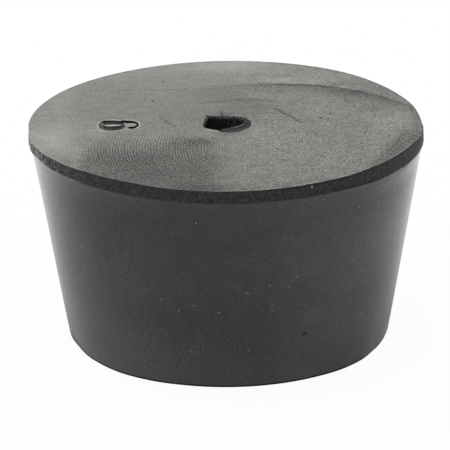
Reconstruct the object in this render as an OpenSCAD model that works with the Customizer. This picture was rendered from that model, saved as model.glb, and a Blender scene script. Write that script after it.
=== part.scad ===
// One-hole laboratory stopper, size 9, moulded in one piece from black rubber.
//
// The frame is in millimetres with +Z up. The origin is the centre of the small
// end, which the stopper stands on, and the axis of the taper runs up +Z to the
// large end. +X is to the right and -Y is the front.

/* [Body] */
// Diameter of the large end
top_d = 45; // [40:0.5:60]
// Diameter of the small end, to the corner that its rounded edge takes off
base_d = 37; // [25:0.5:39.5]
// Height from the small end to the large end
height = 25; // [15:0.5:40]
// Radius of the rounded edge round the small end
base_edge_r = 0.4; // [0.1:0.1:2]

/* [Trimmed rim] */
// Height of the band that is left where the moulding flash is cut away
rim_h = 1.35; // [0.8:0.05:3]
// How much wider the band gets towards its lower edge, on each side
rim_flare = 0.2; // [0.05:0.05:0.4]
// Width of the ledge under the band, where the moulded taper begins
ledge_w = 0.25; // [0.1:0.05:0.6]

/* [Hole] */
// Diameter of the hole that a glass tube is pushed into
hole_d = 4.8; // [3:0.1:12]
// Width of the shallow land round the hole's upper mouth
mouth_land_w = 0.4; // [0.2:0.05:1]
// Depth of that land below the large end
mouth_land_depth = 0.4; // [0.2:0.05:1]
// How far the land sits to the right of the hole's centre
mouth_shift_right = 0.2; // [0:0.05:0.5]
// How far the land sits to the front of the hole's centre
mouth_shift_front = 0.2; // [0:0.05:0.5]

/* [Hidden] */

$fn = 128;
rubber_colour = "#3b3b39";
// How far a cut runs past the face that it opens
past_face = 1;

top_r = top_d / 2;
base_r = base_d / 2;
rim_bottom_z = height - rim_h;
rim_bottom_r = top_r + rim_flare;
taper_top_r = rim_bottom_r - ledge_w;
// Angle that the wall leans outwards from the vertical
taper = atan((taper_top_r - base_r) / rim_bottom_z);
// The rounded edge touches the small end and the wall this far from their corner
edge_reach = base_edge_r * tan((90 - taper) / 2);

// Half of the stopper's section, from the axis out to the wall, before the hole.
module half_section() {
    polygon([
        [0, 0],
        [base_r, 0],
        [taper_top_r, rim_bottom_z],
        [rim_bottom_r, rim_bottom_z],
        [top_r, height],
        [0, height]
    ]);
}

// The sliver outside the arc at the small end's corner.
module base_corner_waste() {
    difference() {
        polygon([
            [base_r - edge_reach, base_edge_r],
            [base_r - edge_reach, 0],
            [base_r, 0],
            [base_r + edge_reach * sin(taper), edge_reach * cos(taper)]
        ]);
        translate([base_r - edge_reach, base_edge_r])
            circle(r = base_edge_r);
    }
}

module moulded_body() {
    rotate_extrude()
        difference() {
            half_section();
            base_corner_waste();
        }
}

// The hole right through, and the off-centre land round its upper mouth.
module tube_hole() {
    translate([0, 0, -past_face])
        cylinder(d = hole_d, h = height + 2 * past_face);
    translate([mouth_shift_right, -mouth_shift_front, height - mouth_land_depth])
        cylinder(d = hole_d + 2 * mouth_land_w, h = mouth_land_depth + past_face);
}

module stopper() {
    color(rubber_colour)
        difference() {
            moulded_body();
            tube_hole();
        }
}

stopper();
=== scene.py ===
import math

import bmesh
import bpy
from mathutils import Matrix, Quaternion, Vector, noise


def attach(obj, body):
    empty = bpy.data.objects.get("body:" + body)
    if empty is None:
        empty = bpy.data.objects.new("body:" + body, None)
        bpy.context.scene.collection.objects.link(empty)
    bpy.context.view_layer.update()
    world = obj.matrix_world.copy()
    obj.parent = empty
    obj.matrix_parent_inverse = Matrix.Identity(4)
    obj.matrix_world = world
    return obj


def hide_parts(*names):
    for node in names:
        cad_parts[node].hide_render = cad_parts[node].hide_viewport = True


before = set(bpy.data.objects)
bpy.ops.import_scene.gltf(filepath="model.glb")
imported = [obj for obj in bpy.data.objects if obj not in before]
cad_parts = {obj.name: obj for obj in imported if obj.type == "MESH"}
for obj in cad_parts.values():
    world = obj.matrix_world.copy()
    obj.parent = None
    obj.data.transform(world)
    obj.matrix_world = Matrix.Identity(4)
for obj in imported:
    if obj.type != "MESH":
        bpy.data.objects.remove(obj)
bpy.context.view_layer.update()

# Viewpoint. The stopper is seen from half a metre away, a little above its front, through a
# long lens, so that the large end shows as a flat oval and the wall keeps its true taper.
sight = bpy.data.cameras.new("sight")
sight.sensor_width = 36.0
sight.lens = 346.6
sight.shift_x = -0.00647
sight.shift_y = 0.0016
sight.clip_start = 0.05
sight.clip_end = 20.0
sight_range, sight_rise, sight_roll = 0.5, 0.3598, -0.0096
stopper_middle = Vector((0.0, 0.0, 0.0125))
sight_line = Vector((0.0, -math.cos(sight_rise), math.sin(sight_rise)))
watcher = bpy.data.objects.new("watcher", sight)
watcher.location = stopper_middle + sight_range * sight_line
watcher.rotation_mode = "QUATERNION"
rolled = Quaternion((0, 0, 1), sight_roll)
watcher.rotation_quaternion = (-sight_line).to_track_quat("-Z", "Y") @ rolled
bpy.context.scene.collection.objects.link(watcher)
bpy.context.scene.camera = watcher

# The moulded body. Black rubber pressed in a hot split mould: a plain taper with a tube hole
# down its axis, whose mouth tears a little as the pin is drawn out. The flash is cut away by hand
# round the large end, which leaves the rim band.

# Its section, taken round from the hole's foot to the hole's mouth, is spun about the axis. It is
# drawn in millimetres, and scaled to metres when it is whole.
MM = 0.001
TURNS = 720
bore_r, base_r, wall_top_r, wall_flare = 2.4, 18.5, 22.45, 0.12
rim_low_r, rim_top_r, rim_low_z, face_z = 22.7, 22.5, 23.65, 25.0
lean = math.atan((wall_top_r - base_r) / rim_low_z)
corner_r, corner_steps = 0.22, 5
corner_reach = corner_r * math.tan((math.pi / 2 - lean) / 2)

small_end = [(bore_r, 2.0), (bore_r, 0.25), (bore_r + 0.05, 0.08), (bore_r + 0.2, 0.0)]
small_end += [(6.0, 0.0), (12.0, 0.0), (base_r - corner_reach, 0.0)]
corner = []
for step in range(1, corner_steps + 1):
    swing = step / corner_steps * (math.pi / 2 - lean)
    out, up = corner_r * math.sin(swing), corner_r * (1 - math.cos(swing))
    corner.append((base_r - corner_reach + out, up))


def own_flare(share):
    """How far the wall swells past its taper, at a share of its height."""
    return wall_flare * share**10


wall = []
wall_stations = (0.0114, 0.08, 0.25, 0.45, 0.65, 0.8, 0.9, 0.96, 0.985)
for share in wall_stations:
    wall.append((base_r + share * (wall_top_r - base_r) + own_flare(share), share * rim_low_z))
ledge = [(wall_top_r + wall_flare, rim_low_z - 0.03), (rim_low_r - 0.03, rim_low_z - 0.02)]
ledge += [(rim_low_r, rim_low_z + 0.02)]
band = []
band_stations = (0.12, 0.25, 0.38, 0.5, 0.62, 0.75, 0.88, 0.95)
for share in band_stations:
    out, up = share * (rim_top_r - rim_low_r), share * (face_z - rim_low_z)
    band.append((rim_low_r + out, rim_low_z + up))
brim = [(rim_top_r, face_z - 0.02), (rim_top_r - 0.03, face_z), (rim_top_r - 0.24, face_z)]
large_end = [(rim_top_r - 0.6, face_z), (20.5, face_z), (16.0, face_z), (10.0, face_z), (5.0, face_z)]
mouth = [(3.6, face_z), (3.2, face_z), (3.0, face_z), (2.9, face_z), (2.82, 24.97), (2.8, 24.9)]
mouth += [(2.7, 24.88), (2.6, 24.86), (2.5, 24.85), (2.42, 24.84), (2.38, 24.8), (2.36, 24.7)]
mouth += [(bore_r, 24.3), (bore_r, 22.0)]
section = small_end + corner + wall + ledge + band + brim + large_end + mouth

body = bmesh.new()
ring_no = body.verts.layers.int.new("ring")
# Wear on the edges, with the painted highlights along the face's edge and under the band.
wear_and_highlight = body.verts.layers.float.new("wear_and_highlight_edge")
first = []
for number, (radius, level) in enumerate(section):
    corner_point = body.verts.new((radius, 0.0, level))
    corner_point[ring_no] = number
    first.append(corner_point)
rails = [body.edges.new(pair) for pair in zip(first, first[1:] + first[:1])]
full_turn = {"cent": (0, 0, 0), "axis": (0, 0, 1), "angle": 2 * math.pi, "use_merge": True}
bmesh.ops.spin(body, geom=first + rails, steps=TURNS, **full_turn)
bmesh.ops.remove_doubles(body, verts=body.verts, dist=1e-5)
bmesh.ops.recalc_face_normals(body, faces=body.faces)


def round_curve(stations, azimuth):
    """A smooth closed curve through (degrees, value) stations, read at an azimuth in degrees."""
    azimuth = (azimuth - stations[0][0]) % 360 + stations[0][0]
    looped = stations + [(stations[0][0] + 360, stations[0][1])]
    for (start, low), (end, high) in zip(looped, looped[1:]):
        if azimuth <= end:
            share = (azimuth - start) / (end - start)
            return low + (high - low) * (3 - 2 * share) * share * share
    return stations[0][1]


def uneven(place, *waves):
    """Small unevenness: noise waves added up, each with its depth and its waves in a millimetre."""
    return sum(depth * noise.noise(place * pace) for depth, pace in waves)


# Each list below runs round the axis, as (degrees from +X towards the back, value). The hand
# trimming leaves the band a little out of round, and a little to the left of the axis. Its lower
# edge flares less on the left, where the knife ran close to the wall. Held upright, it would cut no
# deeper than the two depths here, at the band's foot and at its top.
rim_shift = 0.12
deepest_cut_low, deepest_cut_top = -0.2, -0.1
trim = [(-176, 0.07), (-170, 0.2), (-164.5, 0.37), (-156, 0.27), (-126, -0.27), (-90, 0.19), (-35, -0.27)]
trim += [(0, -0.1), (30, 0.03), (56, 0.3), (90, 0.13), (119, -0.08), (150, 0.02), (175, 0.08)]
flare = [(-180, -0.26), (-172, -0.16), (-164, -0.2), (-150, -0.08), (-125, 0.0), (-60, 0.0), (-25, 0.03)]
flare += [(-8, -0.06), (15, 0.0), (40, 0.0), (120, 0.0), (155, -0.1)]
# The blade was tilted, so the band leans in at its top where this is above 0.
pinch = [(-155, 0.0), (-149, 0.08), (-143, 0.02), (-130, 0.1), (-120, 0.2), (-112, 0.0), (-54, 0.0)]
pinch += [(-43, 0.23), (-30, 0.23), (-20, 0.13), (-12, -0.22), (-5, -0.05), (1, 0.16), (8, 0.2)]
pinch += [(15, 0.12), (24, 0.15), (36, 0.07), (50, 0.0)]
# At the right the wall doesn't swell, and ends flush with the band.
flush = [(-45, 0.0), (-20, 1.0), (22, 1.0), (50, 0.0), (180, 0.0)]
# The knife also rose at the left and dipped at the right, so the band's lower edge does.
rise = [(-180, 0.5), (-168, 0.38), (-163, 0.27), (-155, 0.32), (-147, 0.16), (-138, 0.11), (-126, 0.07)]
rise += [(-115, 0.0), (-78, 0.0), (-66, -0.06), (-52, -0.04), (-43, -0.14), (-33, -0.17)]
rise += [(-24, -0.3), (-15, -0.27), (-6, -0.35), (15, -0.2), (45, 0.0), (140, 0.0), (165, 0.35)]
# The cut leaves a burr along the face's edge, which is highest at the front right. A painted
# highlight runs along it there, and it is painted duller at the right and back.
burr = [(-180, 0.01), (-110, 0.012), (-75, 0.02), (-45, 0.035), (-20, 0.03), (10, 0.01), (90, 0.008)]
edge_highlight = [(-180, 0.1), (-150, 0.25), (-115, 0.0), (-60, 0.05), (-45, 0.6), (-32, 1.1)]
edge_highlight += [(-24, 0.6), (-19, 0.0), (-12, -0.3), (3, -0.4), (18, -0.4), (36, -0.3), (50, -0.3)]
edge_highlight += [(62, 0.0), (150, 0.0)]
# A thin pale line runs on the wall right under the band: a painted highlight.
under_band_highlight = [(-180, 0.0), (-165, 0.5), (-120, 0.45), (-85, 0.15), (-62, 0.2), (-45, 0.9), (-15, 1.1)]
under_band_highlight += [(5, 0.5), (40, 0.3), (120, 0.4)]
# The foot isn't quite round either, because the rubber shrinks unevenly as it cools.
foot_height = 2.5
foot_out = [(-180, 0.0), (-172, -0.06), (-161, -0.19), (-147, 0.0), (-130, 0.16), (-119, 0.12), (-104, 0.0)]
foot_out += [(-75, 0.0), (-60, 0.02), (-46, 0.13), (-37, 0.1), (-25, -0.12), (-12, -0.13), (-3, -0.02)]
foot_out += [(10, 0.02), (60, 0.0), (130, 0.0)]
# The torn mouth of the hole: its outline in the large end, and the edge of the deep opening.
# To the front right a web of rubber was left, which reaches into the hole.
lip = [(-165, 2.67), (-150, 2.86), (-133, 2.63), (-116, 2.48), (-103, 2.86), (-83, 2.98), (-60, 3.05)]
lip += [(-44, 2.8), (-24, 2.74), (0, 2.6), (31, 2.75), (48, 2.76), (76, 2.54), (96, 2.54), (113, 2.76)]
lip += [(130, 3.36), (144, 2.9), (160, 2.6), (172, 2.53)]
opening = [(-165, 2.64), (-150, 2.76), (-133, 2.55), (-120, 2.1), (-105, 1.55), (-88, 1.31), (-60, 1.02)]
opening += [(-44, 0.92), (-30, 0.88), (-10, 0.98), (8, 1.42), (20, 1.9), (30, 2.34), (42, 2.62), (76, 2.46)]
opening += [(96, 2.42), (113, 2.66), (130, 3.3), (144, 2.87), (160, 2.57), (172, 2.51)]

# How far the web lies below the face, most at its right end, how pale its stretched edge is, and
# how much the lip is chafed at its front left.
sunken = [(-130, 0.0), (-70, 0.02), (-45, 0.06), (-20, 0.16), (15, 0.2), (40, 0.1), (90, 0.0)]
stretched = [(-125, 0.1), (-95, 0.2), (-70, 0.05), (-45, 0.12), (-20, 0.3), (5, 0.5), (25, 0.8), (40, 0.8)]
stretched += [(60, 0.0), (180, 0.0)]
mouth_edge = [(-154, 0.0), (-146, 0.6), (-132, 0.8), (-116, 0.5), (-102, 0.0), (150, 0.0)]

last_flat = len(small_end) - 2
first_ledge = len(small_end + corner + wall)
first_brim = first_ledge + len(ledge + band)
first_face = first_brim + len(brim)
first_mouth = first_face + len(large_end)
mouth_rings = 12
for point in body.verts:
    number = point[ring_no]
    reach = math.hypot(point.co.x, point.co.y)
    azimuth = math.degrees(math.atan2(point.co.y, point.co.x))
    across = Vector((point.co.x, point.co.y, 0.0)) / reach
    # The top of the wall goes down with the knife, and swells less where it ends flush.
    if first_ledge - 2 < number <= first_ledge:
        point.co.z += min(0.0, round_curve(rise, azimuth))
    if first_ledge - 4 < number <= first_ledge:
        point.co -= own_flare(section[number][1] / rim_low_z) * round_curve(flush, azimuth) * across
    # The band and the edge of the face, as the knife left them.
    if first_ledge < number < first_face:
        height = (section[number][1] - rim_low_z) / (face_z - rim_low_z)
        deepest = deepest_cut_low + height * (deepest_cut_top - deepest_cut_low)
        wander = round_curve(trim, azimuth) - rim_shift * across.x
        wander = max(wander + (1 - height) * round_curve(flare, azimuth), deepest)
        wander -= height * round_curve(pinch, azimuth)
        if first_ledge + 1 < number < first_brim:
            wander += uneven(point.co, (0.05, 1.1), (0.03, 4.0))
        if first_ledge < number < first_ledge + 3:
            point.co.z += uneven(point.co, (0.06, 0.8), (0.04, 2.6))
        if number < first_brim + 1:
            point.co.z += max(0.0, 1 - height) * round_curve(rise, azimuth)
        if number == first_brim + 1:
            ragged = noise.noise(point.co * 1.5)
            point.co.z += round_curve(burr, azimuth) * (1 + ragged)
            point[wear_and_highlight] = round_curve(edge_highlight, azimuth) * (0.8 + 0.5 * ragged)
        point.co += wander * across
    elif last_flat < number < first_ledge - 5:
        point.co += max(0.0, 1 - point.co.z / foot_height) * round_curve(foot_out, azimuth) * across
    elif number == first_ledge - 1:
        patchy = 0.7 + uneven(point.co, (1.0, 0.7), (0.8, 2.6))
        point[wear_and_highlight] = max(0.0, patchy) * round_curve(under_band_highlight, azimuth)
    elif first_mouth < number <= first_mouth + mouth_rings:
        torn = round_curve(opening, azimuth) + uneven(point.co, (0.07, 3.0))
        nicks = uneven(point.co, (0.05, 2.2), (0.05 + 0.07 * max(0.0, across.y), 5.0))
        rim = round_curve(lip, azimuth) + nicks
        gap = rim - torn
        webbed = min(1.0, max(0.0, (gap - 0.2) / 0.5))
        low = webbed * round_curve(sunken, azimuth)
        rough = noise.noise(Vector((torn, azimuth * 0.06, number * 0.7)) * 2.0) * (0.4 + webbed)
        chafed = round_curve(mouth_edge, azimuth)
        frayed = min(1.0, 3.0 * webbed) * round_curve(stretched, azimuth)
        frayed *= 0.9 + 0.9 * noise.noise(point.co * 4.0)
        # Ring by ring from the face down into the bore: how far out, how deep and how worn.
        away, drop, wear = (
            (rim + 0.4, 0.0, 0.0),
            (rim + 0.16, 0.0, chafed),
            (rim, 0.005, chafed),
            (rim - 0.04, 0.05, 0.0),
            (rim - 0.09, 0.16 - 0.04 * webbed, 0.0),
            (rim - 0.12 - 0.1 * webbed, 0.22 - 0.04 * webbed + 0.06 * rough, 0.0),
            (rim - 0.14 - 0.35 * webbed * gap, 0.24 - 0.04 * webbed + low + 0.07 * rough, 0.0),
            (torn + 0.02 + webbed * min(0.42, 0.3 * gap), 0.26 - 0.06 * webbed + low + 0.09 * rough, 0.0),
            (torn + 0.02 + webbed * min(0.24, 0.2 * gap), 0.27 - 0.15 * webbed + low, frayed),
            (torn + 0.02 + webbed * 0.03, 0.28 - 0.16 * webbed + low, frayed),
            (torn + 0.01, 0.36 + low, 0.0),
            (max(bore_r, torn), 0.7 + 0.5 * webbed, 0.0),
        )[number - first_mouth - 1]
        point.co = across * away + Vector((0, 0, face_z - drop))
        point[wear_and_highlight] = wear

stopper_mesh = bpy.data.meshes.new("stopper_rubber")
bmesh.ops.scale(body, vec=(MM, MM, MM), verts=body.verts)
body.to_mesh(stopper_mesh)
body.free()
stopper = bpy.data.objects.new("stopper_rubber", stopper_mesh)
bpy.context.scene.collection.objects.link(stopper)

# The size number and the pits. The number 9 stands up in the mould, so it comes out sunk in the
# large end, its loop shallower than its tail. A few trapped bubbles broke the skin as pits.
loop = [(-14.63, -0.25), (-14.5, 0.75), (-14.1, 1.35), (-13.4, 1.44), (-12.6, 1.3), (-12.12, 1.2)]
loop += [(-12.02, 0.9), (-11.78, 0.05), (-11.72, -0.75), (-11.9, -1.42), (-12.55, -1.98), (-13.45, -2.12)]
loop += [(-14.15, -1.82), (-14.52, -1.1)]
island = [(-14.05, -0.27), (-13.95, -0.11), (-12.3, -0.1), (-12.15, -0.26), (-12.35, -0.47), (-13.9, -0.48)]
tail = [(-12.1, 1.32), (-11.3, 1.27), (-10.7, 1.1), (-10.3, 0.68), (-10.13, 0.0), (-10.13, -0.65)]
tail += [(-10.35, -1.1), (-10.65, -1.5), (-11.1, -1.54), (-11.34, -1.24), (-11.15, -0.88), (-10.7, -0.76)]
tail += [(-10.45, -0.5), (-10.32, -0.1), (-10.4, 0.18), (-10.74, 0.36), (-11.2, 0.38), (-11.7, 0.48)]
tail += [(-12.05, 0.8)]
loop_depth, tail_depth = 0.24, 0.42
pits = [(11.9, 3.2, 0.16), (10.75, 1.6, 0.22), (15.6, -3.7, 0.16), (5.6, -8.8, 0.18)]
pits += [(9.5, -8.7, 0.14), (15.2, -7.2, 0.13), (-8.6, 8.2, 0.16), (-7.4, 15.1, 0.14)]
bubble_sunk = 0.04
wall_pit, wall_pit_r = (8.47, -17.62, 6.08), 0.22
cutters = []
for outlines, depth, bubbles in (((loop, island), loop_depth, pits), ((tail,), tail_depth, [])):
    mark = bpy.data.curves.new("mark", "CURVE")
    mark.dimensions = "2D"
    mark.fill_mode = "BOTH"
    mark.resolution_u = 3
    mark.extrude = 0.5
    for outline in outlines:
        line = mark.splines.new("BEZIER")
        line.use_cyclic_u = True
        line.bezier_points.add(len(outline) - 1)
        for knot, (x, y) in zip(line.bezier_points, outline):
            knot.co = (x, y, 0.0)
            knot.handle_left_type = knot.handle_right_type = "AUTO"
    drawn = bpy.data.objects.new("mark", mark)
    bpy.context.scene.collection.objects.link(drawn)
    solid = bpy.data.meshes.new_from_object(drawn.evaluated_get(bpy.context.evaluated_depsgraph_get()))
    bpy.data.objects.remove(drawn)
    cutter = bmesh.new()
    cutter.from_mesh(solid)
    bmesh.ops.translate(cutter, vec=(0, 0, face_z + 0.5 - depth), verts=cutter.verts)
    bmesh.ops.remove_doubles(cutter, verts=cutter.verts, dist=1e-4)
    for x, y, radius in bubbles:
        ball = bmesh.ops.create_icosphere(cutter, subdivisions=2, radius=radius)
        bmesh.ops.translate(cutter, vec=(x, y, face_z - bubble_sunk), verts=ball["verts"])
    if bubbles:
        ball = bmesh.ops.create_icosphere(cutter, subdivisions=2, radius=wall_pit_r)
        bmesh.ops.translate(cutter, vec=wall_pit, verts=ball["verts"])
    bmesh.ops.recalc_face_normals(cutter, faces=cutter.faces)
    bmesh.ops.scale(cutter, vec=(MM, MM, MM), verts=cutter.verts)
    cutter_mesh = bpy.data.meshes.new("mould_mark")
    cutter.to_mesh(cutter_mesh)
    cutter.free()
    cutters.append(bpy.data.objects.new("mould_mark", cutter_mesh))
    bpy.context.scene.collection.objects.link(cutters[-1])
    sink = stopper.modifiers.new("sink", "BOOLEAN")
    sink.operation = "DIFFERENCE"
    sink.solver = "EXACT"
    sink.object = cutters[-1]

seen = stopper.evaluated_get(bpy.context.evaluated_depsgraph_get())
marked_mesh = bpy.data.meshes.new_from_object(seen)
stopper.modifiers.clear()
stopper.data = marked_mesh
marked_mesh.name = "stopper_rubber"
for cut in cutters:
    bpy.data.objects.remove(cut)

# Which finish is where: the moulded wall and small end, the cut rim band, the large end with its
# tool marks, and raw rubber down the hole and in the sunk number and pits. Raw rubber also runs
# along the foot as a thin line of painted shadow. The sections below make the finishes in this order.
WALL, BAND, FACE, RAW_AND_SHADE = range(4)
mouth_r = 3.6
foot_shadow_z, foot_shadow_r, foot_shadow_x = 0.25, 18.1, 17.2
crease = math.radians(32)
marked = bmesh.new()
marked.from_mesh(marked_mesh)
for face in marked.faces:
    face.smooth = True
    centre = face.calc_center_median() / MM
    away = math.hypot(centre.x, centre.y)
    dip = min(0.0, round_curve(rise, math.degrees(math.atan2(centre.y, centre.x))))
    in_mark = centre.z > 20 and away < 21
    # The foot's thin dark line is painted shadow where the stopper meets the floor.
    in_foot_shadow = centre.z < foot_shadow_z and away > foot_shadow_r and abs(centre.x) < foot_shadow_x
    if away < mouth_r and face.normal.z < 0.999 and centre.z > 0.3:
        face.material_index = RAW_AND_SHADE
    elif centre.z > face_z - 0.001 and face.normal.z > 0.9:
        face.material_index = FACE
    elif centre.z > rim_low_z - 0.06 + dip and away > 21.5:
        face.material_index = FACE if face.normal.z > 0.7 else BAND
    else:
        face.material_index = RAW_AND_SHADE if in_mark or in_foot_shadow else WALL
for edge in marked.edges:
    edge.smooth = edge.calc_face_angle(0.0) < crease
marked.to_mesh(marked_mesh)
marked.free()

# Moulded wall and small end: the satin skin that the polished mould leaves, with faint cloudy
# unevenness and a few light specks. A dusty bloom, thicker towards the large end, shows pale where
# the wall is seen edge-on.
skin_dark, skin_light = (0.009, 0.009, 0.009, 1), (0.075, 0.075, 0.075, 1)
dust_and_highlight_pale = (0.17, 0.17, 0.165, 1)
turning_pitch, skin_depth = 0.45, 0.000014
speck_r, bold_speck, faint_speck = 0.19, 0.9, 0.5
bold_left_of = -16.0
wall_specks = [
    (17.2, -13.9, 21.7), (16.8, -14.0, 20.1), (14.6, -16.4, 20.8), (10.6, -19.7, 22.9),
    (-7.5, -18.9, 10.9), (-3.9, -19.9, 10.5), (-5.6, -19.3, 9.7), (-1.1, -20.1, 9.7),
    (4.6, -20.1, 12.9), (2.1, -20.4, 12.2), (6.7, -19.4, 12.4), (4.8, -19.5, 9.8),
    (-16.3, -13.2, 15.2), (-16.5, -11.6, 10.0), (-16.3, -10.3, 4.5), (15.5, -13.0, 10.4),
    (13.7, -14.7, 9.2), (16.0, -11.6, 7.7), (15.0, -12.6, 6.4), (16.1, -13.1, 13.5),
    (7.6, -19.3, 13.6), (-4.2, -18.8, 4.6), (-9.5, -16.2, 1.6), (-16.3, -9.4, 1.8),
]


class Field:
    """A value that varies over the rubber: one node socket, with maths that adds Math nodes."""

    def __init__(self, tree, socket=None):
        self.tree = tree
        self.socket = socket

    def node(self, kind, settings=None, inputs=None, output=0):
        made = self.tree.nodes.new(kind)
        for name, value in (settings or {}).items():
            setattr(made, name, value)
        for name, value in (inputs or {}).items():
            if isinstance(value, Field):
                self.tree.links.new(value.socket, made.inputs[name])
            else:
                made.inputs[name].default_value = value
        return Field(self.tree, made.outputs[output])

    def maths(self, operation, *others):
        inputs = dict(enumerate((self,) + others))
        return self.node("ShaderNodeMath", {"operation": operation}, inputs)

    def __add__(self, other):
        return self.maths("ADD", other)

    def __sub__(self, other):
        return self.maths("SUBTRACT", other)

    def __rsub__(self, other):
        return self.maths("MULTIPLY", -1.0) + other

    def __mul__(self, other):
        return self.maths("MULTIPLY", other)

    def __truediv__(self, other):
        return self.maths("DIVIDE", other)

    def __abs__(self):
        return self.maths("ABSOLUTE")

    __radd__ = __add__
    __rmul__ = __mul__

    def at_least(self, other):
        return self.maths("MAXIMUM", other)

    def at_most(self, other):
        return self.maths("MINIMUM", other)

    def ease(self, low, high, start=0.0, end=1.0):
        """0 below low and 1 above high, with a smooth step between them."""
        inputs = {"Value": self, "From Min": low, "From Max": high, "To Min": start, "To Max": end}
        return self.node("ShaderNodeMapRange", {"interpolation_type": "SMOOTHSTEP"}, inputs)

    def fade(self, low, high):
        """1 below low and 0 above high, with a smooth step between them."""
        return self.ease(low, high, 1.0, 0.0)

    def blend(self, low, high):
        """The colour low where this is 0 and high where it is 1."""
        inputs = {0: self, 6: low, 7: high}
        return self.node("ShaderNodeMix", {"data_type": "RGBA"}, inputs, output=2)


def finish(name):
    """A new finish on the body: the place in millimetres, its x, y and z, and the shader."""
    material = bpy.data.materials.new(name)
    material.use_nodes = True
    marked_mesh.materials.append(material)
    tree = material.node_tree
    tree.nodes.clear()
    place = Field(tree).node("ShaderNodeTexCoord", output=3)
    scaled = {0: place, "Scale": 1 / MM}
    place = place.node("ShaderNodeVectorMath", {"operation": "SCALE"}, scaled)
    parts = [place.node("ShaderNodeSeparateXYZ", {}, {0: place}, output=axis) for axis in range(3)]
    shader = tree.nodes.new("ShaderNodeBsdfPrincipled")
    surface = tree.nodes.new("ShaderNodeOutputMaterial")
    tree.links.new(shader.outputs[0], surface.inputs[0])
    return place, parts, shader


def dress(shader, varying, even):
    """Links what varies over the rubber to the shader, and sets what is the same all over."""
    for name, field in varying.items():
        field.tree.links.new(field.socket, shader.inputs[name])
    for name, value in even.items():
        shader.inputs[name].default_value = value


def bumps(height, depth):
    """The normal of a surface with small bumps, depth metres high where height is 1."""
    inputs = {"Strength": 1.0, "Distance": depth, "Height": height}
    return height.node("ShaderNodeBump", {}, inputs)


def wear_and_highlight_at(place):
    """The wear and the painted highlights kept on the body's corners."""
    return place.node("ShaderNodeAttribute", {"attribute_name": "wear_and_highlight_edge"}, output=2)


def reach_of(across, along):
    """The distance that two distances at a right angle make."""
    return (across * across + along * along).maths("SQRT")


def spot(place, centre, radius):
    """1 within a small round spot."""
    ends = {0: place, 1: centre}
    off = place.node("ShaderNodeVectorMath", {"operation": "DISTANCE"}, ends, output=1)
    return off.fade(radius * 0.4, radius)


def grain(place, scale, detail=2.0, rough=0.5):
    """Cloudy noise from 0 to 1, with patches about 1 / scale millimetres across."""
    inputs = {"Vector": place, "Scale": scale, "Detail": detail, "Roughness": rough}
    return place.node("ShaderNodeTexNoise", {}, inputs)


def stretched_grain(place, scale, turn=0.0):
    """Cloudy noise drawn out into streaks: its scale along x, y and z, turned about z."""
    inputs = {"Vector": place, "Rotation": (0.0, 0.0, turn), "Scale": scale}
    return grain(place.node("ShaderNodeMapping", {}, inputs), 1.0, 3.0, 0.6)


def dust(place, scale, size, share):
    """1 on small specks scattered over the surface, one cell in 1 / share of them having one."""
    cell = {"Vector": place, "Scale": scale, "Randomness": 1.0}
    near = place.node("ShaderNodeTexVoronoi", {"feature": "F1"}, cell, output=0)
    draw = place.node("ShaderNodeTexVoronoi", {"feature": "F1"}, cell, output=1)
    draw = draw.node("ShaderNodeSeparateColor", {}, {0: draw}, output=0)
    return near.fade(size * 0.4, size) * draw.maths("LESS_THAN", share)


place, (x, y, z), shader = finish("moulded_wall")
cloud = grain(place, 0.12, 3.0)
blot = grain(place, 0.55, 3.0, 0.55)
fine = grain(place, 3.0, 3.0, 0.65)
grit = grain(place, 7.0, 2.0, 0.6)
crowd = blot.ease(0.35, 0.65)
speck = dust(place, 0.55, 0.08, 0.2) + 0.45 * dust(place, 1.2, 0.1, 0.2)
speck += 0.3 * crowd * dust(place, 1.7, 0.14, 0.3)
for centre in wall_specks:
    strength = bold_speck if centre[0] < bold_left_of else faint_speck
    speck += strength * spot(place, centre, speck_r)
# The thin line under the band is a painted highlight, in the specks' pale colour.
pale = speck.at_least(0.2 * wear_and_highlight_at(place).at_most(1.2))

# The skin is mottled. Painted light makes it lighter at the foot, most at its left, and low down on
# both flanks, and painted shade makes it darker the higher it is. It is also lighter in a stripe down
# the right of the front and darker high up at the left, and has three soft spots, two lighter and one
# darker.
rising = z.ease(3.0, 22.0)
side = abs(x).ease(2.0, 13.0)
mottle = (0.5 + crowd) * (1.5 * (fine - 0.5) + 2.4 * (grit - 0.5))
mottle += 0.5 * (blot - 0.5) + 0.5 * (cloud - 0.5)
tint = 0.35 - 0.22 * rising + mottle * (1.0 - 0.3 * rising)
tint += (1.0 + 0.75 * x.fade(-12.0, 2.0)) * z.fade(-1.5, 9.0)
tint += (0.05 + 0.4 * side) * z.ease(2.0, 7.0) * z.fade(13.0, 22.0)
tint += 0.25 * x.ease(3.0, 8.0) * x.fade(12.0, 15.5)
tint -= 0.45 * x.fade(-17.0, -8.0) * z.ease(10.0, 14.0)
tint += 0.4 * x.ease(4.5, 6.0) * x.fade(8.5, 11.0) * z.fade(1.0, 2.6)
tint += 0.4 * spot(place, (9.5, -17.4, 8.2), 1.8) - 0.35 * spot(place, (-14.1, -15.7, 16.5), 2.2)
# The pit in the wall is painted dark: painted shade in and round its hollow.
tint = tint.at_least(0.0) * (1.0 - spot(place, wall_pit, 1.55 * wall_pit_r))
skin = (0.5 * tint).blend(skin_dark, skin_light)

# The bloom is a thin dusty coat, wiped off low on the flanks. Right under the band's right end it is cut
# back as painted shade.
bloom = 0.08 + rising * (0.6 + 0.4 * blot + 0.6 * (cloud - 0.5) + 0.5 * (grit - 0.5))
bloom -= 0.3 * side * z.fade(20.5, 22.5)
bloom += rising * side * (1.3 * (fine - 0.5) + 1.0 * (grit - 0.5))
bloom = bloom.at_least(0.0) * (1.0 - 0.7 * z.ease(22.3, 23.5) * x.ease(11.0, 17.0))

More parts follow.
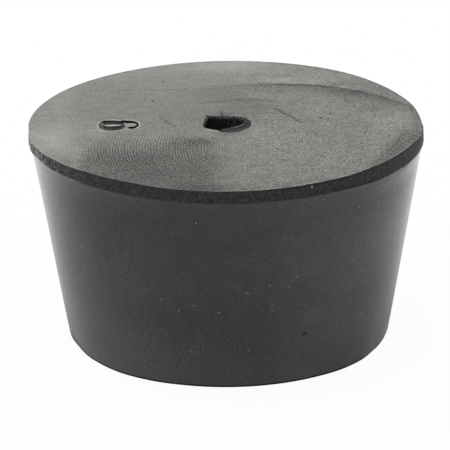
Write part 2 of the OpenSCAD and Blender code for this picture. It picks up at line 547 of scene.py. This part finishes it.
# The foot is scuffed duller, which shows where it is seen edge-on, most at the left.
edge_on = (abs(x) / (math.tan(lean) * z + base_r)).ease(0.8, 0.95)
scuffed = 0.09 * z.fade(1.5, 8.0) + (0.2 - 0.16 * x.ease(-5.0, 5.0)) * z.fade(0.5, 1.4)
turned = (reach_of(x, y) * (2 * math.pi / turning_pitch)).maths("SINE") * z.fade(0.02, 0.06)
dress(
    shader,
    {
        "Base Color": pale.at_most(1.0).blend(skin, dust_and_highlight_pale),
        "Roughness": 0.16 + 0.06 * cloud + 0.05 * fine + 0.2 * speck + edge_on * scuffed,
        "Coat Weight": bloom.at_most(1.0),
        "Normal": bumps(fine + 0.4 * grit + 0.15 * turned, skin_depth),
    },
    {"IOR": 1.41, "Coat Roughness": 0.18, "Coat IOR": 1.26},
)

# Rim band: the fresh cut through the flash, matt and torn, with fine streaks down it and white
# specks of filler that the knife opened. Painted shade makes it darkest right under the face at the front
# right.
burr_shadow_black, cut_dark = (0.002, 0.002, 0.002, 1), (0.003, 0.003, 0.003, 1)
cut_light, filler_white = (0.036, 0.036, 0.0355, 1), (0.3, 0.3, 0.29, 1)
tear_depth = 0.00022
band_specks = [((-16.3, -15.7, 24.5), 0.2), ((-15.0, -16.7, 25.0), 0.16)]
band_specks += [((-10.8, -19.8, 24.7), 0.15), ((9.3, -20.5, 24.7), 0.17)]
place, (x, y, z), shader = finish("cut_rim")
tear = grain(place, 2.6, 4.0, 0.7)
pore = grain(place, 6.0, 2.0)
speck = dust(place, 1.1, 0.12, 0.1)
for centre, radius in band_specks:
    speck += spot(place, centre, radius)
ripped = x.fade(-20.0, -15.0)
torn_tone = (tear + (0.7 + 1.3 * ripped) * (pore - 0.5)).ease(0.34, 0.7).blend(cut_dark, cut_light)
shade_under_edge = z.ease(24.68, 24.86) * x.ease(2.0, 9.0) * y.fade(-9.0, -3.0)
torn_tone = (0.8 * shade_under_edge).blend(torn_tone, burr_shadow_black)
blotched = 0.4 + 1.2 * tear + 2.0 * (pore - 0.5) + 2.2 * ripped * (tear.ease(0.38, 0.62) - 0.5)
# The coat is blotchy all over, and strongest at the band's left end, where it is a painted sheen.
skim = (0.85 - 0.7 * x.ease(-21.0, -12.0)) * blotched
dress(
    shader,
    {
        "Base Color": speck.at_most(1.0).blend(torn_tone, filler_white),
        "Roughness": 0.6 + 0.2 * tear,
        "Coat Weight": skim.at_least(0.0),
        "Normal": bumps(tear + 0.6 * pore, tear_depth),
    },
    {"IOR": 1.5, "Specular IOR Level": 0.3, "Coat Roughness": 0.35, "Coat IOR": 1.3},
)

# Large end: it copies the milled mould plate, so it carries the cutter's feed marks, one arc
# repeated every third of a millimetre across it, and the arc where the cutter stood still. How
# well the skin shines differs from patch to patch, as the plate was polished unevenly.
face_dark, face_light = (0.016, 0.0164, 0.0154, 1), (0.028, 0.0286, 0.027, 1)
feed_pitch, feed_depth, cutter_r = 0.3335, 0.000003, 25.5
first_cut_y, second_cut_y = -7.9, 12.3
place, (x, y, _), shader = finish("milled_face")
waver = grain(place, 0.5, 2.0)
off_track = (y - first_cut_y).at_most(cutter_r - 0.5)
first_cut = x + (cutter_r * cutter_r - off_track * off_track).maths("SQRT")
second_cut = y + 0.06 * x
travel = first_cut + (second_cut - first_cut) * y.ease(second_cut_y - 0.02, second_cut_y + 0.02)
travel += 0.25 * (waver - 0.5)
ridge = (travel * (2 * math.pi / feed_pitch)).maths("SINE")


def oval(centre_x, centre_y, half_x, half_y):
    """How far out a point is in an oval: 0 at its middle and 1 on its outline."""
    return reach_of((x - centre_x) / half_x, (y - centre_y) / half_y)


def patch(centre_x, centre_y, half_x, half_y, soft):
    """1 inside a soft-edged oval of the finish being made."""
    return oval(centre_x, centre_y, half_x, half_y).fade(1 - soft, 1 + soft)


def patches(*rows):
    """Soft ovals added up, each with its strength and then its centre, half sizes and softness."""
    return sum(strength * patch(*shape) for strength, *shape in rows)


def proud_line(*shape):
    """1 on the oval line round a sunk mark, where the skin stands proud."""
    return abs(oval(*shape) - 1.02).fade(0.02, 0.13)


def arc(centre_x, centre_y, radius):
    """How far outside a circle a point is."""
    return reach_of(x - centre_x, y - centre_y) - radius


def scratch(start, end, width):
    """1 along a thin straight mark between two points."""
    length = math.dist(start, end)
    run_x, run_y = (end[0] - start[0]) / length, (end[1] - start[1]) / length
    along = (x - start[0]) * run_x + (y - start[1]) * run_y
    off = abs((x - start[0]) * run_y - (y - start[1]) * run_x + 0.9 * (blot - 0.5))
    return off.fade(width * 0.2, width) * along.ease(0.0, 1.0) * along.fade(length - 1.0, length)


cloud = grain(place, 0.22, 3.0, 0.55)
blot = grain(place, 0.75, 2.0, 0.5)
fine = grain(place, 2.8, 3.0, 0.7)
streaks = stretched_grain(place, (0.12, 1.3, 1.0))
far_half, right_half = y.ease(-2.0, 6.0), x.ease(-1.0, 5.0)

# The dull patch at the front left, with its sharper right edge and back corner.
left_edge = x + 16.7 - 0.12 * (y + 14.5)
slow_top = (y + 3.5 * (cloud - 0.5) + 1.5 * (blot - 0.5)).fade(-12.0, -3.3)
quick_top = (y + 2.5 * (blot - 0.5)).fade(-6.8, -4.1)
right_edge = (x + 1.0 + 3.0 * (cloud - 0.5) + 1.8 * (blot - 0.5)) / (0.5 - 0.12 * y)
dull = slow_top + (quick_top - slow_top) * x.ease(-9.5, -3.5)
dull = dull * (left_edge + 2.0 * (cloud - 0.5)).ease(-0.6, 1.0) * right_edge.fade(-1.0, 1.0)
dull = dull * (0.1 + 1.0 * cloud + 0.7 * blot) + patches(
    (0.22, -10.3, -12.0, 3.2, 2.6, 0.8),
    (0.25, -4.5, -5.8, 2.3, 1.5, 0.5),
    (-0.35, -2.6, -8.9, 1.5, 1.6, 0.7),
    (0.15, -5.5, -18.5, 7.0, 3.6, 0.8),
    (-0.06, -15.0, -13.5, 3.0, 2.5, 0.8),
    (0.6, -0.1, -3.3, 1.4, 0.7, 0.7),
)

# The arcs where the cutter stood, with a dull belt inside the long one.
long_arc, short_arc = (5.7, -4.25, 18.05), (2.0, -3.8, 12.0)
ring = arc(*long_arc) + 1.3 * (blot - 0.5)
stop_mark = ring.ease(-1.7, -0.1) * ring.fade(0.0, 0.6) * x.ease(-9.0, 9.0) * y.ease(3.0, 9.0)
stop_line = abs(arc(*long_arc) + 0.3 * (blot - 0.5)).fade(0.1, 0.5)
stop_line = stop_line * x.ease(2.0, 7.0) * (1.0 - 0.35 * x.ease(11.0, 13.0)) * y.ease(2.0, 5.0)
stop_belt = ring.ease(-5.0, -0.3) * ring.fade(-0.2, 0.4) * x.ease(2.0, 12.0) * y.ease(3.0, 8.0)
rubbed = abs(arc(*short_arc)).fade(0.1, 0.8) * patch(2.2, 8.0, 4.5, 1.6, 0.5)

# A smear, the split in the skin behind the hole, and hairline cracks.
smear = scratch((5.1, 5.7), (9.0, -0.5), 0.4) * (0.3 + 1.4 * blot)
torn_skin = scratch((-0.7, 5.2), (-0.5, 1.5), 0.3) + 0.5 * patch(-0.4, 3.3, 1.2, 0.5, 0.6)
hairline = 0.6 * scratch((-8.1, 3.8), (-6.9, 0.8), 0.3)
hairline += 1.3 * scratch((-7.3, 1.6), (-5.6, -1.5), 0.22)
hairline += 0.8 * scratch((13.5, 9.2), (16.0, 2.6), 0.2)
hairline += 0.6 * scratch((-17.5, 11.7), (-4.0, 12.3), 0.3)
hairline += 0.5 * scratch((13.7, -4.0), (13.9, -9.0), 0.3)
hairline = hairline * (0.4 + 1.2 * blot)

# The skin is raised round the sunk number, its loop and then its tail, and a painted highlight brightens it
# there, on the loop's island and on a few spots round it.
loop_oval, tail_oval = (-13.15, -0.33, 1.62, 1.92), (-11.5, -0.08, 1.54, 1.64)
halo = proud_line(*loop_oval) * x.fade(-12.2, -11.8) * (0.6 + 0.4 * y.ease(-1.0, 1.0))
halo += proud_line(*tail_oval) * x.ease(-12.0, -11.6)
halo += patches(
    (1.1, -13.1, -0.27, 1.0, 0.3, 0.2),
    (0.6, -11.0, -0.15, 0.6, 0.6, 0.4),
    (0.5, -14.2, -2.15, 0.5, 0.3, 0.5),
    (0.5, -10.15, -1.35, 0.4, 0.3, 0.5),
)

# How brightly the skin gives back the light, near its mean and then with each mark on it.
shine = 0.236 + 0.03 * (cloud - 0.5) + (0.3 - 0.1 * far_half + 0.14 * right_half) * (fine - 0.5)
shine += (0.06 + 0.045 * right_half) * (blot - 0.5) - 0.035 * dust(place, 0.9, 0.16, 0.2)
shine += 0.06 * far_half * (streaks - 0.5) - 0.062 * dull
scored = (1.3 - 0.5 * x.ease(13.0, 17.0)) * (0.1 + 0.6 * streaks + 1.3 * blot.ease(0.3, 0.7))
shine -= 0.028 * stop_mark * scored + 0.03 * stop_line
shine -= 0.05 * stop_belt * (1.0 - 0.3 * x.ease(14.0, 18.0)) * (cloud + 1.6 * blot - 0.5)
shine -= 0.03 * rubbed + 0.065 * smear + 0.06 * torn_skin + 0.05 * hairline
shine -= 0.027 * patch(-0.3, 6.5, 6.2, 5.5, 0.7) * (0.4 + 1.2 * blot)
shine += 0.1 * halo + 0.13 * wear_and_highlight_at(place)
shine += 0.015 * ring.ease(0.0, 3.0) * y.ease(6.0, 16.0) + 0.02 * x.fade(-19.5, -16.0)
shine += 0.04 * patch(8.0, 14.9, 3.6, 1.2, 0.5) * ring.ease(0.2, 0.7)
shine -= 0.02 * patch(20.0, 10.3, 2.2, 1.6, 0.8) * ring.ease(0.2, 1.0)
shine += patches(
    (0.07, -20.5, -5.6, 3.2, 4.4, 0.9),
    (0.02, -17.2, -0.3, 2.2, 3.0, 0.7),
    (0.015, -20.0, 6.0, 3.0, 4.0, 0.8),
    (0.03, -14.9, -3.0, 1.3, 1.8, 0.6),
    (0.02, -16.6, -9.9, 1.6, 1.7, 0.7),
    (0.014, -4.5, 7.5, 4.5, 4.0, 0.8),
    (0.012, 5.0, -6.5, 3.5, 4.0, 0.8),
    (0.03, 3.7, 9.5, 1.2, 1.7, 0.7),
    (0.016, 6.3, 7.9, 1.0, 2.0, 0.7),
    (0.032, 13.9, 12.2, 2.0, 0.9, 0.7),
    (-0.03, 17.0, 12.2, 4.0, 3.6, 0.8),
    (0.02, 17.9, 10.4, 1.6, 0.9, 0.7),
    (-0.026, 18.4, 5.0, 2.2, 2.0, 0.7),
    (0.018, 19.0, 0.0, 2.5, 5.0, 0.7),
)

# The skin is brighter along the far rim, and dull along the near, left, right and back rims.
from_rim = arc(0.0, 0.0, 22.4)
far_rim = from_rim.ease(-5.5, -1.5) * y.ease(13.0, 19.0) * x.fade(1.0, 8.0)
far_rim = far_rim * (0.35 + 0.65 * x.ease(-7.0, -1.0))
near_rim = from_rim.ease(-2.8, -0.5) * x.ease(-8.0, -2.0) * x.fade(10.0, 13.0)
near_rim = near_rim * (1.0 - 0.5 * x.ease(1.0, 5.0)) * y.fade(-19.0, -15.0)
left_rim = from_rim.ease(-2.2, -0.4) * x.fade(-18.5, -16.0) * y.fade(-6.5, -4.0)
right_rim = (x - 0.34 * y + 0.8 * (blot - 0.5)).ease(20.2, 21.6) * y.fade(-4.5, -0.5)
back_rim = arc(0.1, 0.0, 20.9).ease(0.0, 0.7) * y.fade(3.5, 5.5) * y.ease(-3.0, -1.0)
back_rim = back_rim * x.ease(10.0, 16.0)
shine += 0.055 * far_rim - 0.015 * from_rim.ease(-0.6, 0.0) * y.ease(13.0, 19.0)
shine -= 0.036 * near_rim + 0.02 * left_rim
shine -= 0.055 * right_rim * (0.5 + 1.0 * blot) + 0.035 * back_rim

# How much the feed marks show: most at the front left, a little right of the hole and at the rim.
combed = 0.006 + 0.028 * y.fade(-3.0, 1.5) * x.ease(-19.5, -13.0) * x.fade(-5.5, 1.5)
combed += patches((0.018, 3.5, -6.0, 7.5, 3.5, 0.7), (0.018, 20.2, -1.5, 2.2, 3.5, 0.5))
combed = combed * ((waver - 0.3) * 4.0).at_least(0.15) * (0.2 + 1.7 * blot.ease(0.3, 0.7))
shine += combed * ridge
bare_shine, coat_shine = 0.12, 0.2
dress(
    shader,
    {
        "Base Color": fine.blend(face_dark, face_light),
        "Roughness": 0.38 + 0.12 * cloud,
        "Coat Weight": (shine - bare_shine) / coat_shine,
        "Normal": bumps(ridge + 3.0 * fine + 4.0 * halo, feed_depth),
    },
    {"IOR": 1.3, "Specular IOR Level": 0.06, "Coat Roughness": 0.3, "Coat IOR": 1.5},
)

# Raw rubber down the hole and in the number: dull, and darker than the skins round it, partly as
# painted shade in these hollows. It is pale where the torn web was stretched, and painted highlights
# light the walls and floor of the number's strokes.
raw_black, raw_dark = (0.002, 0.002, 0.002, 1), (0.006, 0.006, 0.006, 1)
raw_light, shred_grey = (0.02, 0.02, 0.0197, 1), (0.048, 0.048, 0.0475, 1)
lit_and_worn_pale = (0.26, 0.26, 0.25, 1)
raw_depth = 0.00006
place, (x, y, z), shader = finish("raw_rubber_and_shade")
tear = grain(place, 3.0, 3.0, 0.6)
blistered = tear.ease(0.42, 0.62)
frayed = z.ease(24.45, 25.0) * y.ease(0.3, 1.3) * x.ease(-2.7, -2.1)
frayed = frayed * (0.25 + 1.1 * tear.ease(0.4, 0.65))
ripple = z.ease(22.6, 24.4) * y.ease(0.6, 1.4) * x.ease(-0.8, 0.6) * x.fade(3.0, 3.5) * blistered
# Painted highlights on the number: along the far sides of its strokes, on the loop's ends and on its near
# stroke.
loop_wall = y.ease(0.95, 1.15) * x.ease(-14.2, -13.8) * x.fade(-12.4, -12.1)
tail_wall = y.ease(0.85, 1.05) * x.ease(-12.1, -11.8) * x.fade(-10.5, -10.3)
lit_and_worn = 0.45 * loop_wall + tail_wall * (0.1 + 0.35 * z.fade(24.68, 24.8))
lit_and_worn += 1.4 * patch(-13.7, -0.7, 0.9, 0.3, 0.6) * blistered
lit_and_worn += 0.35 * patch(-13.1, -0.48, 1.2, 0.3, 0.4) * z.fade(24.97, 25.0)
lit_and_worn += patches(
    (2.2, -14.38, 0.86, 0.26, 0.4, 0.5),
    (0.8, -12.1, 0.6, 0.34, 0.45, 0.5),
    (0.15, -13.1, -1.3, 1.4, 0.5, 0.4),
)
lit_and_worn = (0.9 * wear_and_highlight_at(place)).at_least(0.45 * lit_and_worn).at_least(0.3 * frayed + 0.22 * ripple)
web = patch(1.0, -1.0, 2.6, 2.3, 0.2) * z.ease(24.2, 24.5)
shreds = stretched_grain(place, (1.0, 5.0, 2.0), 0.6).ease(0.42, 0.68)
skin = (0.8 * web).blend(tear.blend(raw_dark, raw_light), raw_black)
skin = (web * shreds).blend(skin, shred_grey)
# The hole's left wall is painted black: painted shade where the light from above would fall.
skin = patch(-2.6, 0.6, 0.8, 2.6, 0.3).blend(skin, raw_black)
dress(
    shader,
    {"Base Color": lit_and_worn.at_most(1.0).blend(skin, lit_and_worn_pale), "Normal": bumps(tear, raw_depth)},
    {"Roughness": 0.7, "Specular IOR Level": 0.12},
)

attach(stopper, "root")
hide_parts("stopper")

# Floor: one wide pale sheet under the stopper. The camera sees it nearly white, and the
# stopper's own soft shadow still falls on it.
ground = bmesh.new()
bmesh.ops.create_grid(ground, x_segments=1, y_segments=1, size=3.0)
bmesh.ops.translate(ground, vec=(0, 0, -0.00001), verts=ground.verts)
ground_mesh = bpy.data.meshes.new("floor")
ground.to_mesh(ground_mesh)
ground.free()
floor = bpy.data.objects.new("floor", ground_mesh)
bpy.context.scene.collection.objects.link(floor)
pale = bpy.data.materials.new("pale_floor")
pale.use_nodes = True
tree = pale.node_tree
tree.nodes.clear()
rays = tree.nodes.new("ShaderNodeLightPath")
direct = Field(tree, rays.outputs["Is Camera Ray"])
mirrored = Field(tree, rays.outputs["Is Glossy Ray"]) + Field(tree, rays.outputs["Is Transmission Ray"])
matt = direct.node("ShaderNodeBsdfDiffuse", {}, {"Color": (0.97, 0.97, 0.955, 1)})
glow = direct.node("ShaderNodeEmission", {}, {"Color": (1, 1, 1, 1), "Strength": 1.0})
glowing = 0.95 * direct + 0.25 * mirrored
shown = direct.node("ShaderNodeMixShader", {}, {0: glowing, 1: matt, 2: glow})
surface = tree.nodes.new("ShaderNodeOutputMaterial")
tree.links.new(shown.socket, surface.inputs[0])
ground_mesh.materials.append(pale)

# Light: a white tent, seen and mirrored at full brightness but lighting the rubber at half of it,
# with one wide soft panel high behind the stopper and one above it.
tent = bpy.data.worlds.new("tent")
bpy.context.scene.world = tent
tent.use_nodes = True
tree = tent.node_tree
tree.nodes.clear()
rays = tree.nodes.new("ShaderNodeLightPath")
looked = Field(tree, rays.outputs["Is Camera Ray"]) + Field(tree, rays.outputs["Is Glossy Ray"])
looked = looked + Field(tree, rays.outputs["Is Transmission Ray"])
strength = 0.5 + 0.5 * looked.at_most(1.0)
sky = looked.node("ShaderNodeBackground", {}, {"Color": (1, 1, 0.98, 1), "Strength": strength})
surface = tree.nodes.new("ShaderNodeOutputWorld")
tree.links.new(sky.socket, surface.inputs[0])

lit_point = Vector((0, 0, 0.02))
for name, stand, size, watts, tint in (
    ("rear_panel", (0.0, 0.75, 0.42), (1.3, 0.6), 2.5, (1, 1, 0.93)),
    ("top_panel", (-0.2, 0.0, 0.9), (0.8, 0.8), 4.0, (1, 1, 0.98)),
):
    panel = bpy.data.lights.new(name, "AREA")
    panel.shape = "RECTANGLE"
    panel.size, panel.size_y = size
    panel.energy = watts
    panel.color = tint
    lamp = bpy.data.objects.new(name, panel)
    lamp.location = stand
    lamp.rotation_mode = "QUATERNION"
    lamp.rotation_quaternion = (lit_point - Vector(stand)).to_track_quat("-Z", "Y")
    bpy.context.scene.collection.objects.link(lamp)

bpy.context.scene.view_settings.view_transform = "Standard"
